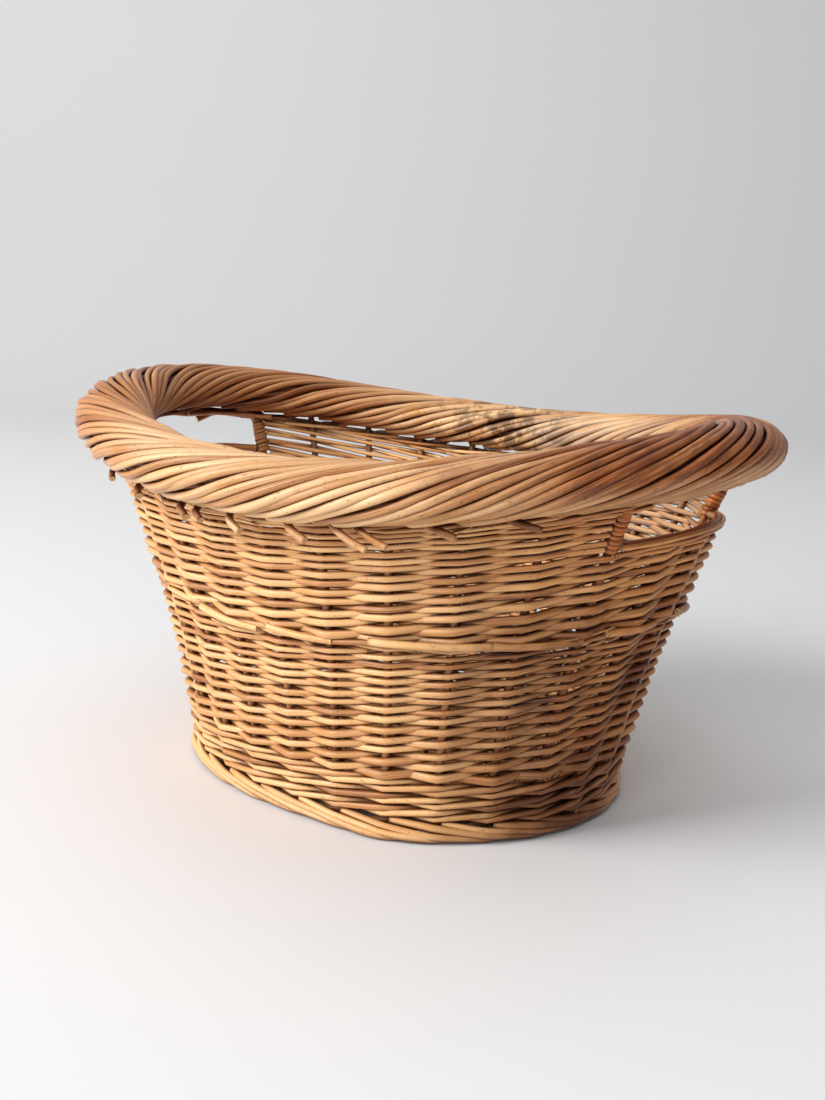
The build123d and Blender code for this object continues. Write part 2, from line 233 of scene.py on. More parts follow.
class WillowNodes:
    """Node tree of one willow material, with the maps its layers share."""

    def __init__(self, tree):
        tree.nodes.clear()
        self.tree = tree
        self.rod_coords = self.attribute("rodco", "Vector")
        self.streak = self.grain(along=9, across=620, detail=3.0, roughness=0.6)
        self.spots = self.mask(self.grain(along=330, across=700, detail=1.0), low=0.66, high=0.74)
        self.knots = self.mask(self.grain(along=38, across=30, detail=1.0), low=0.70, high=0.78)
        geometry = self.node("ShaderNodeNewGeometry")
        self.position = geometry.outputs["Position"]
        self.x, self.y, self.z = self.node("ShaderNodeSeparateXYZ", {0: self.position}).outputs
        self.cloud = self.noise(self.position, scale=14.0, detail=3.0, roughness=0.6)
        facing = self.vector("DOT_PRODUCT", geometry.outputs["Normal"], self.position, "Value")
        self.inward = self.band(self.times(facing, -1.0), low=-0.04, high=0.06)

    def node(self, kind, inputs=None, **settings):
        node = self.tree.nodes.new(kind)
        for key, value in settings.items():
            setattr(node, key, value)
        for key, value in (inputs or {}).items():
            if isinstance(value, bpy.types.NodeSocket):
                self.tree.links.new(value, node.inputs[key])
            else:
                node.inputs[key].default_value = value
        return node

    def attribute(self, name, output="Fac"):
        node = self.node("ShaderNodeAttribute", attribute_name=name, attribute_type="GEOMETRY")
        return node.outputs[output]

    def math(self, operation, first, second):
        return self.node("ShaderNodeMath", {0: first, 1: second}, operation=operation).outputs[0]

    def add(self, *values):
        return reduce(lambda first, second: self.math("ADD", first, second), values)

    def times(self, *values):
        return reduce(lambda first, second: self.math("MULTIPLY", first, second), values)

    def invert(self, value):
        return self.math("SUBTRACT", 1.0, value)

    def vector(self, operation, first, second, output="Vector"):
        node = self.node("ShaderNodeVectorMath", {0: first, 1: second}, operation=operation)
        return node.outputs[output]

    def noise(self, place, scale, detail, roughness):
        return self.node("ShaderNodeTexNoise", {
            "Vector": place, "Scale": scale, "Detail": detail,
            "Roughness": roughness}).outputs["Fac"]

    def grain(self, along, across, detail=2.0, roughness=0.5):
        """Noise in rod coordinates, with its frequency along and across the rod."""
        place = self.vector("MULTIPLY", self.rod_coords, (along, across, across))
        return self.noise(place, 1.0, detail, roughness)

    def ramp(self, factor, stops):
        node = self.node("ShaderNodeValToRGB", {0: factor})
        elements = node.color_ramp.elements
        while len(elements) < len(stops):
            elements.new(0.5)
        for element, (position, colour) in zip(elements, stops):
            element.position = position
            element.color = colour
        return node.outputs[0]

    def mask(self, value, low, high):
        """Straight rise from black at low to white at high."""
        black = (0, 0, 0, 1)
        return self.ramp(value, [(0.0, black), (low, black), (high, (1, 1, 1, 1))])

    def band(self, value, low, high):
        """Smooth rise from 0 at low to 1 at high."""
        return self.node("ShaderNodeMapRange", {0: value, 1: low, 2: high},
                         interpolation_type="SMOOTHSTEP").outputs[0]

    def spare(self, mask, where, amount):
        """The mask weakened by `amount` in a place."""
        return self.times(mask, self.invert(self.times(where, amount)))

    def mix(self, factor, first, second, blend="MIX"):
        return self.node("ShaderNodeMix", {0: factor, 6: first, 7: second},
                         data_type="RGBA", blend_type=blend).outputs[2]

    def tint(self, colour, mask, strength, rgb):
        """Multiply the colour by rgb under a mask."""
        tinted = self.mix(1.0, colour, (*rgb, 1), "MULTIPLY")
        return self.mix(self.times(mask, strength), colour, tinted)

    def fade(self, colour, mask, strength, target, amount):
        """Blend the colour part of the way to a target under a mask."""
        faded = self.mix(amount, colour, target)
        return self.mix(self.times(mask, strength), colour, faded)


def skin_colour(net, look):
    """Tone from rod to rod and along the grain, red casts, specks, knots and amber patches."""
    tone = net.add(
        net.times(net.math("SUBTRACT", net.attribute("rr"), 0.5), look.vary),
        net.times(net.grain(along=7, across=60), 0.46),
        net.times(net.math("SUBTRACT", net.streak, 0.5), 0.85),
        net.attribute("tone"),
        0.27)
    brightest = (*(min(1, c * 1.18) for c in look.light[:3]), 1)
    colour = net.ramp(tone, [(0.0, look.dark), (0.30, look.mid), (0.62, look.light),
                             (1.0, brightest)])
    red = net.mask(net.grain(along=5, across=20, detail=1.0), low=0.52, high=0.72)
    colour = net.tint(colour, red, strength=look.blotch * 0.55, rgb=(0.86, 0.66, 0.55))
    colour = net.tint(colour, net.spots, strength=look.speck, rgb=(0.42, 0.30, 0.22))
    colour = net.tint(colour, net.knots, strength=look.speck * 0.5, rgb=(0.50, 0.36, 0.27))
    if look.amber > 0:
        patch = net.mask(net.grain(along=26, across=70), low=0.54, high=0.68)
        colour = net.tint(colour, patch, strength=look.amber, rgb=(0.92, 0.74, 0.46))
    return colour


def weathered_and_shaded(net, look, colour):
    """Grey on the upper back and dark stains, each in its own place; the stain low on the front
    right is partly painted shade.
    """
    # inward faces high at the back, except towards the left end
    grey = net.times(net.band(net.y, low=0.02, high=0.16), net.band(net.z, low=0.14, high=0.24),
                     net.inward, net.band(net.cloud, low=0.32, high=0.56),
                     net.band(net.x, low=-0.07, high=0.05))
    colour = net.fade(colour, grey, strength=look.grey, target=srgb(186, 172, 156), amount=0.70)
    # mottled stain round the middle of the back of the border
    distance = net.vector("DISTANCE", net.position, (-0.01, 0.185, 0.262), "Value")
    mottle = net.noise(net.position, scale=46.0, detail=3.0, roughness=0.65)
    stain = net.times(net.invert(net.band(distance, low=0.02, high=0.12)),
                      net.band(mottle, low=0.46, high=0.56))
    colour = net.tint(colour, stain, strength=look.grey, rgb=(0.22, 0.20, 0.19))
    # cloudy stain low on the front right, partly painted shade on the side turned away from the
    # key light, never weaker than 0.55 of its full depth
    depth = net.add(net.times(net.band(net.cloud, low=0.40, high=0.60), 0.45), 0.55)
    stain = net.times(net.band(net.x, low=0.09, high=0.19),
                      net.band(net.times(net.y, -1.0), low=-0.08, high=0.03),
                      net.invert(net.band(net.z, low=0.12, high=0.26)), depth)
    return net.tint(colour, stain, strength=look.stain, rgb=(0.24, 0.17, 0.125))


def tan_and_shade_mask(net, look):
    """The darker, redder right end, with a cloudy edge: partly a real tan, partly painted shade on
    the end turned away from the key light.
    """
    shift = net.times(net.math("SUBTRACT", net.cloud, 0.5), 0.14)
    tan = net.band(net.add(net.x, shift), low=0.09, high=0.29)
    if look.lining > 0:
        # weaker on the inside and high on the wall
        tan = net.spare(tan, net.inward, amount=0.85)
        tan = net.spare(tan, net.band(net.z, low=0.13, high=0.22), amount=0.42)
    if look.left_dark > 0:
        # weaker under the border, whose level rises with x squared: painted light from the floor,
        # keeping the underside paler
        level = net.add(net.times(net.x, net.x, 0.409), RIM_LOW * MM)
        below = net.band(net.math("SUBTRACT", level, net.z), low=0.003, high=0.017)
        tan = net.spare(tan, below, amount=0.62)
    return tan


def aged_and_shaded(net, look, colour, tan):
    """Tan, partly painted shade, and patina on the right, a darker left end and a brighter inside.
    """
    # the right end tinted darker and redder: partly real tan, partly painted shade
    colour = net.tint(colour, tan, strength=0.96, rgb=look.tan_rgb)
    # the tan, partly painted shade, is darker in patches and along the grain
    patches = net.grain(along=34, across=150, detail=3.0, roughness=0.65)
    patina = net.add(net.times(patches, 0.6), net.times(net.streak, 0.4))
    patina = net.invert(net.band(patina, low=0.40, high=0.56))
    colour = net.tint(colour, net.times(patina, tan), strength=0.85, rgb=(0.38, 0.30, 0.25))
    if look.left_dark > 0:
        left = net.band(net.times(net.x, -1.0), low=0.04, high=0.22)
        colour = net.tint(colour, left, strength=look.left_dark, rgb=(0.68, 0.49, 0.36))
    if look.lining > 0:
        # brighter inside, and dull at its right end
        colour = net.tint(colour, net.inward, strength=look.lining, rgb=(1.50, 1.50, 1.52))
        dull = net.times(net.inward, net.band(net.x, low=0.05, high=0.15))
        colour = net.fade(colour, dull, strength=0.85, target=srgb(142, 116, 97), amount=0.72)
    return colour


def painted_gap_shade(net, look, colour, tan):
    """Painted shade in the gaps between rods, from ambient occlusion, and deeper painted shade in
    the gaps at the right end.
    """
    # painted shade: ambient occlusion darkens the colour where rods crowd together
    occlusion = net.node("ShaderNodeAmbientOcclusion", {"Distance": 0.020}, samples=4)
    gaps = net.invert(net.band(occlusion.outputs["AO"], low=0.12, high=0.86))
    colour = net.tint(colour, gaps, strength=look.crease, rgb=(0.24, 0.115, 0.055))
    # deeper painted shade in the gaps at the right end
    return net.tint(colour, net.times(gaps, tan), strength=0.8, rgb=(0.42, 0.32, 0.26))


def cut_ends(net, colour):
    """Brown skin, pale wood and a dark pith, from the edge of a cut end to its middle."""
    cap = net.attribute("cap")
    wood = net.ramp(cap, [(0.0, srgb(120, 78, 44)), (0.22, srgb(214, 180, 132)),
                          (0.80, srgb(200, 160, 112)), (0.93, srgb(110, 74, 46))])
    return net.mix(net.band(cap, low=0.005, high=0.03), colour, wood)


def grain_bump(net):
    """Streaks, fine grain and knots raised, spots sunk."""
    fine = net.grain(along=60, across=2600, roughness=0.6)
    height = net.add(net.times(net.streak, 0.6), net.times(fine, 0.25))
    height = net.math("SUBTRACT", height, net.times(net.spots, 0.25))
    height = net.add(height, net.times(net.knots, 0.5))
    bump = {"Height": height, "Strength": 0.55, "Distance": 0.0008}
    return net.node("ShaderNodeBump", bump).outputs[0]


def willow(name, **changes):
    material = bpy.data.materials.new(name)
    material.use_nodes = True
    net = WillowNodes(material.node_tree)
    look = SimpleNamespace(**{**PLAIN_LOOK, **changes})
    tan = tan_and_shade_mask(net, look)
    colour = weathered_and_shaded(net, look, skin_colour(net, look))
    colour = painted_gap_shade(net, look, aged_and_shaded(net, look, colour, tan), tan)
    surface = net.node("ShaderNodeBsdfPrincipled", {
        "Base Color": cut_ends(net, colour),
        # the grain moves the roughness 0.11 either way
        "Roughness": net.add(net.times(net.streak, 0.22), look.rough - 0.11),
        "Specular IOR Level": 0.42,
        "Normal": grain_bump(net)})
    net.node("ShaderNodeOutputMaterial", {0: surface.outputs[0]})
    return material


# Strengths of the layers; `vary` is the spread of tone from rod to rod
PLAIN_LOOK = dict(blotch=0.5, stain=0.0, grey=0.0, amber=0.0, crease=0.9,
                  tan_rgb=(0.96, 0.56, 0.20), left_dark=0.0, lining=0.0)
LOOKS = {
    "willow_border": dict(
        light=srgb(232, 188, 138), mid=srgb(202, 148, 96), dark=srgb(138, 84, 44),
        rough=0.37, speck=0.8, grey=0.85, stain=0.2, vary=0.58, blotch=0.45, amber=0.7,
        crease=0.97, tan_rgb=(0.50, 0.235, 0.07), left_dark=1.0),
    "willow_weave": dict(
        light=srgb(238, 188, 129), mid=srgb(209, 149, 91), dark=srgb(142, 83, 43),
        rough=0.34, speck=0.6, grey=0.85, stain=1.0, vary=0.48, blotch=0.15, amber=0.35,
        crease=1.0, lining=0.8),
    "willow_stake": dict(
        light=srgb(186, 130, 82), mid=srgb(150, 96, 56), dark=srgb(100, 58, 32),
        rough=0.50, speck=0.5, grey=0.6, stain=0.8, vary=0.4),
    "willow_base": dict(
        light=srgb(196, 148, 98), mid=srgb(162, 112, 68), dark=srgb(112, 70, 40),
        rough=0.55, speck=0.5, vary=0.5),
    "willow_skein": dict(
        light=srgb(208, 150, 96), mid=srgb(176, 116, 66), dark=srgb(126, 74, 38),
        rough=0.38, speck=0.35, vary=0.3),
}
MATERIALS = {name: willow(name, **look) for name, look in LOOKS.items()}


# ---------------------------------------------------------------- rod meshes
class Bundle:
    """Collects round rods and writes them as one mesh of tubes."""

    def __init__(self, name, sides):
        self.name, self.sides, self.count = name, sides, 0
        self.quads, self.caps = [], [np.zeros((0, 3), int)]
        self.position, self.rodco = [], []
        self.floats = {"rr": [], "tone": [], "cap": []}

    def add_points(self, position, rodco, **floats):
        """Store vertices and return the index of the first."""
        first = self.count
        self.position.append(position)
        self.rodco.append(rodco)
        for key, value in floats.items():
            self.floats[key].append(np.broadcast_to(value, (len(position),)))
        self.count += len(position)
        return first

    def rod(self, path, outward, radius, flat=1.0, tone=0.0, rand=None, closed=False):
        """Add a rod; `flat` scales it in the outward direction."""
        count, sides = len(path), self.sides
        tone = np.broadcast_to(np.asarray(tone, float), (count,))
        tangent = unit(np.roll(path, -1, 0) - np.roll(path, 1, 0) if closed
                       else np.gradient(path, axis=0))
        side = unit(np.cross(tangent, outward))
        out = np.cross(side, tangent)
        rand = RNG.random() if rand is None else rand
        angle = np.linspace(0, 2 * np.pi, sides, endpoint=False)
        along = run_length(path)
        # rods are not perfect cylinders: a slow swell, knots and a faint facet
        swell = 1 + drift(count, RNG, spacing=9, size=0.03)
        knot = np.zeros(count)
        for _ in range(RNG.poisson(along[-1] / 260.0)):
            centre = RNG.random() * along[-1]
            knot += 0.10 * np.exp(-((along - centre) / 3.0) ** 2)
        girth = radius * swell * (1 + knot)
        facet = 1 + 0.02 * np.cos(3 * angle + 6.28 * rand)
        ring = (path[:, None]
                + (girth * flat)[:, None, None] * (np.cos(angle) * facet)[:, None] * out[:, None]
                + girth[:, None, None] * (np.sin(angle) * facet)[:, None] * side[:, None])
        rodco = np.empty((count, sides, 3))
        rodco[..., 0] = along[:, None] + rand * 4000.0
        rodco[..., 1] = girth[:, None] * np.cos(angle)
        rodco[..., 2] = girth[:, None] * np.sin(angle)
        first = self.add_points(ring.reshape(-1, 3), rodco.reshape(-1, 3),
                                rr=rand, tone=np.repeat(tone, sides), cap=0.0)
        i = np.arange(count if closed else count - 1)[:, None]
        j = np.arange(sides)
        row, next_row = first + i * sides, first + (i + 1) % count * sides
        next_j = (j + 1) % sides
        quads = np.stack([row + next_j, next_row + next_j, next_row + j, row + j], -1)
        self.quads.append(quads.reshape(-1, 4))
        if closed:
            return
        for i, way in ((0, -1), (count - 1, 1)):
            centre = path[i] + way * tangent[i] * girth[i] * 0.10
            middle = self.add_points(centre[None], np.array([[along[i] + rand * 4000.0, 0, 0]]),
                                     rr=rand, tone=tone[i], cap=1.0)
            edge = first + i * sides + j
            fan = np.stack([edge, np.roll(edge, -1), np.full(sides, middle)], -1)
            self.caps.append(fan[:, ::-way])

    def build(self, slot, replaces=None):
        """Make the object; unless told otherwise it replaces the piece with its own name."""
        replaces = [self.name] if replaces is None else replaces
        quads, caps = np.concatenate(self.quads), np.concatenate(self.caps)
        quad_count, cap_count = len(quads), len(caps)
        mesh = bpy.data.meshes.new(self.name)
        mesh.vertices.add(self.count)
        position = np.concatenate(self.position) * MM
        mesh.vertices.foreach_set("co", position.astype(np.float32).ravel())
        corners = np.concatenate([quads.ravel(), caps.ravel()]).astype(np.int32)
        mesh.loops.add(len(corners))
        mesh.loops.foreach_set("vertex_index", corners)
        mesh.polygons.add(quad_count + cap_count)
        starts = np.concatenate([np.arange(quad_count) * 4,
                                 quad_count * 4 + np.arange(cap_count) * 3])
        mesh.polygons.foreach_set("loop_start", starts.astype(np.int32))
        mesh.polygons.foreach_set("use_smooth", np.arange(quad_count + cap_count) < quad_count)
        mesh.update(calc_edges=True)
        mesh.validate()
        for key, values in self.floats.items():
            data = mesh.attributes.new(key, "FLOAT", "POINT").data
            data.foreach_set("value", np.concatenate(values).astype(np.float32))
        data = mesh.attributes.new("rodco", "FLOAT_VECTOR", "POINT").data
        rodco = np.concatenate(self.rodco) * MM
        data.foreach_set("vector", rodco.astype(np.float32).ravel())
        thing = bpy.data.objects.new(self.name, mesh)
        bpy.context.scene.collection.objects.link(thing)
        mesh.materials.append(MATERIALS[slot])
        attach(thing, "root")
        if replaces:
            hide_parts(*replaces)


# -------------------------------------------------------------------- stakes
def stake_rim(k):
    return float(rim_height(STAKE_TURN[k:k + 1])[0])


def stakes(name, indices, top, radii, sides=10):
    """Stakes that run out along the base, turn up and follow the wall to height top(k)."""
    bundle = Bundle(name, sides)
    for k in indices:
        z = np.r_[STICK_Z + np.array([0, 0, 0.8, 3.0, 9.0]), np.linspace(STICK_Z + 18, top(k), 24)]
        offset = np.r_[-27.0, -14.0, -7.0, -3.4, -0.7, drift(24, RNG, spacing=6, size=0.25)]
        points, normal = from_stake_line(STAKE_TURN[k], z, offset)
        path = spline(points, 60)
        side = np.array([-normal[0, 1], normal[0, 0], 0.0])
        outward = unit(np.cross(side, np.gradient(path, axis=0)))
        bundle.rod(path, outward, np.linspace(*radii, 60))
    bundle.build("willow_stake")


def post_wrap(name, k):
    """Coil of split willow round a hand hole post, from the sill to the border."""
    rim = stake_rim(k)
    z = np.array([rim * SILL_LEVEL + 1.0, rim - 20.0])
    (start, end), (normal, _) = from_stake_line(STAKE_TURN[k], z, 0.0)
    length = np.linalg.norm(end - start)
    axis = (end - start) / length
    out = unit(normal - axis * np.dot(normal, axis))
    side = np.cross(axis, out)
    turns = length / 3.7
    count = int(turns * 22)
    share = np.linspace(0, 1, count)
    angle = 2 * np.pi * turns * share + drift(count, RNG, spacing=40, size=0.12)
    radius = 5.0 + drift(count, RNG, spacing=20, size=0.18)
    climb = length * share + drift(count, RNG, spacing=24, size=0.25)
    spoke = np.cos(angle)[:, None] * out + np.sin(angle)[:, None] * side
    bundle = Bundle(f"post_wrap_{name}", 8)
    bundle.rod(start + axis * climb[:, None] + radius[:, None] * spoke, spoke, 1.95,
               flat=0.62, tone=0.05)
    bundle.build("willow_skein")


def below_rim(k):
    return stake_rim(k) - STAKE_TOP_DROP


def at_sill(k):
    return stake_rim(k) * SILL_LEVEL + 1.5


stakes("side_stakes_back", range(3, 12), below_rim, radii=(3.5, 3.1))
stakes("side_stakes_front", range(17, 26), below_rim, radii=(3.5, 3.1))
stakes("short_stakes_right", (27, 0, 1), at_sill, radii=(3.5, 3.2))
stakes("short_stakes_left", (13, 14, 15), at_sill, radii=(3.5, 3.2))
for name, k in (("right_back", 2), ("left_back", 12), ("left_front", 16), ("right_front", 26)):
    stakes(f"hand_hole_post_{name}", (k,), below_rim, radii=(3.7, 3.5), sides=12)
    post_wrap(name, k)

# --------------------------------------------------------------- hole sills
# height above the sill level, radius, extra reach each way (turns), offset from the stake line
SILL_RODS = ((3.6, 3.3, 0.0, 0.0), (4.0, 1.9, 0.003, 4.9), (1.2, 1.7, 0.004, 5.4))


def sill(end, middle):
    bundle = Bundle(f"hand_hole_sill_{end}", 12)
    for lift, radius, reach, offset in SILL_RODS:
        half = POST_TURN - 0.006 + reach
        turn = np.linspace(middle - half, middle + half, 60)
        z = rim_height(turn) * SILL_LEVEL + lift + drift(60, RNG, spacing=20, size=0.5)
        bundle.rod(*from_stake_line(turn, z, offset), np.linspace(radius, radius * 0.9, 60),
                   tone=-0.26)
    bundle.build("willow_weave")


HOLES = {"right": 0.0, "left": 0.5}
for end, middle in HOLES.items():
    sill(end, middle)


# ------------------------------------------------------------ woven bands
def over_under(x):
    """Wave between 1 at even x and -1 at odd x, nearly straight between."""
    sharpness = 0.994
    return np.arcsin(sharpness * np.cos(np.pi * x)) / math.asin(sharpness)


def weave_band(bundle, levels, rows, pitches, thickness, seed, tone=0.0, holes=False):
    """One weaver from each stake, climbing a row every two stakes, outside then inside.
    Pitch and thickness change from the first value to the second on the way up."""
    rng = np.random.default_rng(900 + seed)
    low, high = levels
    for j in range(STAKES):
        row = np.arange(-0.5, rows + rng.uniform(-0.4, 0.4), 1 / 18)
        s = j + 1 + 2 * row
        share = np.clip(row / rows, 0, 1)
        climb = ((pitches[0] * share + (pitches[1] - pitches[0]) * share * share / 2)
                 / ((pitches[0] + pitches[1]) / 2))
        level = low + (high - low) * climb + np.minimum(row, 0) * 0.004
        z = level * rim_height(stake_turn(s)) + drift(len(s), rng, spacing=18, size=0.65)
        radius = (0.5 * (thickness[0] + (thickness[1] - thickness[0]) * share ** 0.85)
                  * rng.uniform(0.88, 1.12))
        swing = 2.7 + radius * 0.80
        offset = swing * over_under(s - (j + 1)) + drift(len(s), rng, spacing=16, size=0.25)
        points, outward = bay(s, z, offset)
        keep = np.ones(len(s), bool)
        if holes:
            place = np.mod(s, STAKES)
            in_hole = (place > 26) | (place < 2) | ((place > 12) & (place < 16))
            keep = ~(in_hole & (level > SILL_LEVEL - 0.004))
            # the back panel above the sills leaves out every third weaver
            if j % 3 == 1:
                keep &= ~((place > 1.5) & (place < 12.5) & (level > SILL_LEVEL + 0.01))
        rand = rng.random()
        rod_tone = tone + rng.normal(0, 0.04)
        runs = np.flatnonzero(np.diff(np.r_[0, keep.astype(int), 0])).reshape(-1, 2)
        for start, end in runs:
            if end - start > 5:
                bundle.rod(points[start:end], outward[start:end], radius[start:end],
                           flat=0.94, tone=rod_tone, rand=rand)


bundle = Bundle("lower_randing", 8)
weave_band(bundle, levels=(0.182, MID_LEVEL - 0.012), rows=12.6, pitches=(11.8, 7.2),
           thickness=(6.7, 4.0), seed=1)
bundle.build("willow_weave", ["lower_randing_outer_strokes", "lower_randing_inner_strokes"])
bundle = Bundle("upper_randing", 8)
weave_band(bundle, levels=(MID_LEVEL + 0.022, 0.905), rows=13.0, pitches=(13.4, 5.8),
           thickness=(6.9, 3.3), seed=2, tone=0.02, holes=True)
bundle.build("willow_weave", [
    f"{part}_{side}_strokes" for part in ("upper_randing", "top_panel_front", "top_panel_back")
    for side in ("outer", "inner")])


def wale(name, height, thickness, spread, seed, first=7, span=STAKES, tone=0.0):
    """Round of three-rod waling: each rod passes two stakes outside, then one inside."""
    bundle = Bundle(name, 8)
    rng = np.random.default_rng(500 + seed)
    for i in range(3):
        s = np.arange(first * 8 - 3, (first + span) * 8 + 4) / 8.0
        stroke = np.mod(s - i - seed, 3.0)
        outside = np.clip(np.minimum(stroke, 3 - stroke), 0, 1)
        radius = thickness / 2 * rng.uniform(0.92, 1.08)
        offset = ((3.0 + radius) * (2 * outside - 1)
                  + drift(len(s), rng, spacing=14, size=0.3))
        slope = np.where((stroke > 0.5) & (stroke < 2.5), np.clip(1.5 - stroke, -0.5, 0.5),
                         np.where(stroke <= 0.5, stroke, stroke - 3))
        z = (height(rim_height(stake_turn(s))) - spread * slope
             + drift(len(s), rng, spacing=16, size=0.45))
        bundle.rod(*bay(s, z, offset), radius, flat=0.95, tone=tone + rng.normal(0, 0.05),
                   rand=rng.random())
    bundle.build("willow_weave")


for k in range(3):
    # a quarter of the height follows the rise of the rim
    wale(f"upsett_wale_row_{k + 1}",
         lambda rim: (19.2 + 10.8 * k) * (0.75 + 0.25 * rim / RIM_LOW),
         thickness=4.9, spread=5.4, seed=k + 1)
wale("middle_wale", lambda rim: (MID_LEVEL + 0.005) * rim, thickness=4.3, spread=4.2, seed=7)

# thick butts laid in over the middle wale: stake coordinate, length in stakes, height over it
BUTTS = ((19.3, 1.3, 2.0), (20.9, 1.2, 4.5), (22.75, 2.2, 5.5), (24.6, 1.4, 3.0),
         (26.4, 1.2, 4.0), (5.2, 1.4, 3.0), (8.6, 1.3, 4.0), (0.4, 1.2, 2.5))


def add_butts(bundle):
    for start, length, lift in BUTTS:
        rng = np.random.default_rng(int(start * 100))
        share = np.linspace(0, 1, 40)
        s = start + np.linspace(0, length, 40)
        offset = 8.4 + 1.2 * np.sin(np.pi * share) - 9.0 * np.clip(share - 0.55, 0, 1) ** 1.5
        z = MID_LEVEL * rim_height(stake_turn(s)) + lift - 3.0 * share
        bundle.rod(*bay(s, z, offset), np.linspace(3.1, 2.6, 40), tone=0.10, rand=rng.random())


def add_fibres(bundle):
    """Split fibres that stand off the wall, a third of them just under the border."""
    share = np.linspace(0, 1, 14)
    for i in range(34):
        rng = np.random.default_rng(8000 + i)
        high = i % 3 == 0
        start = rng.choice([3.2, 17.2]) + rng.uniform(0, 7.6) if high else rng.uniform(0, STAKES)
        s = start + np.linspace(0, rng.uniform(0.14, 0.42), 14)
        rim = rim_height(stake_turn(s))
        z = rim - 29.0 if high else MID_LEVEL * rim + rng.normal(2.0, 4.0)
        z = z + rng.uniform(-7, 5) * share ** 1.5
        offset = 7.2 + rng.uniform(1.0, 5.0) * share ** 1.3
        bundle.rod(*bay(s, z, offset), np.linspace(1.0, 0.35, 14), tone=rng.uniform(0.0, 0.25),
                   rand=rng.random())


bundle = Bundle("joined_butts", 8)
add_butts(bundle)
add_fibres(bundle)
bundle.build("willow_weave", [])

for face, first in (("back", 2), ("front", 16)):
    wale(f"top_wale_{face}", lambda rim: rim - 25.4, thickness=3.5, spread=3.8, seed=11,
         first=first, span=10, tone=-0.06)

# --------------------------------------------------------------------- foot
# course of one foot rod: stakes along, height, offset from the stake line
FOOT_COURSE = np.array([
    (0.16, 12.6, 5.0), (0.40, 12.2, 7.0), (1.0, 10.2, 9.0), (1.7, 7.6, 10.0), (2.4, 5.0, 10.2),
    (3.1, 3.4, 8.8), (3.8, 3.2, 3.6), (4.5, 5.6, -3.0), (5.3, 10.0, -7.0)])


def foot_border():
    bundle = Bundle("foot_border", 10)
    scale = [10, 1, 1]      # weighs stakes against millimetres in the spline
    course = spline(FOOT_COURSE * scale, 84) / scale
    for k in range(STAKES):
        rng = np.random.default_rng(70 + k)
        radius = 2.95 * rng.uniform(0.90, 1.10)
        s = k + course[:, 0]
        z = np.maximum(course[:, 1] + drift(84, rng, spacing=24, size=0.5), radius + 0.1)
        # blunt corner that stands out low on the front right
        from_corner = np.mod(s - 23.2 + 14, STAKES) - 14
        corner = 9.0 * np.exp(-(from_corner / 1.25) ** 2) * np.clip((12.0 - z) / 8.0, 0, 1)
        # the foot rods are lightened by a tone of about 0.24: painted light bounced up from the
        # floor
        bundle.rod(*bay(s, z, course[:, 2] - 0.6 + corner, chord=0.8),
                   np.linspace(radius, radius * 0.84, 84), tone=rng.normal(0.24, 0.07),
                   rand=rng.random())
    bundle.build("willow_weave")


foot_border()

# --------------------------------------------------------------------- base
CROSS_STEP, LONG_STEP = 20.0, 11.0      # stick spacing where they cross
SLATH_X, SLATH_Y = 90.0, 30.0           # half size of the crossing
WEAVE_START_X, WEAVE_START_Y, WEAVE_START_POWER = 99.0, 33.0, 2.6
WEAVE_MARGIN = 19.0                     # outermost round inside the wall
WEAVE_ROUNDS = 25


def stick_end(turn, inset):
    plan, normal = wall(np.array([turn]), np.array([STICK_Z]))
    return plan[0] - normal[0] * inset


def cross_sticks():
    """Split sticks across the base; returns their centre lines."""
    bundle = Bundle("base_cross_sticks", 10)
    lines = []
    for k in range(SIDE_STAKES):
        x = CROSS_STEP * (4 - k)
        end_x, end_y = stick_end(POST_TURN + SIDE_STEP * (k + 1), inset=20.0)
        bend = (x + (end_x - x) * 0.35, SLATH_Y + (end_y - SLATH_Y) * 0.42)
        back = [(x, SLATH_Y), bend, (end_x, end_y)]
        plan = [(px, -py) for px, py in back[::-1]] + [(x, 0)] + back
        line = spline(lift_to(np.array(plan), STICK_Z), 60)
        lines.append(line)
        # two halves bowed apart round the long sticks
        bow = 3.1 * np.exp(-(line[:, 1] / 30.0) ** 6)
        for way in (1, -1):
            half = line.copy()
            half[:, 2] += way * (bow + 1.3)
            bundle.rod(half, (0, 0, 1), 4.2, flat=0.55, rand=0.31 + 0.05 * k)
    bundle.build("willow_base")
    return lines


def long_sticks():
    """Round sticks along the base; returns their centre lines."""
    bundle = Bundle("base_long_sticks", 10)
    lines = []
    for k in range(-2, 3):
        y = LONG_STEP * k
        end_x, end_y = stick_end((0.0, SHORT_TURN, POST_TURN)[abs(k)], inset=24.0)
        end_y = np.sign(k) * abs(end_y)
        plan = [(-end_x, end_y), (-SLATH_X, y), (0, y), (SLATH_X, y), (end_x, end_y)]
        line = spline(lift_to(np.array(plan), STICK_Z), 90)
        lines.append(line)
        bundle.rod(line, (0, 0, 1), 2.7, tone=0.02)
    bundle.build("willow_base")
    return lines


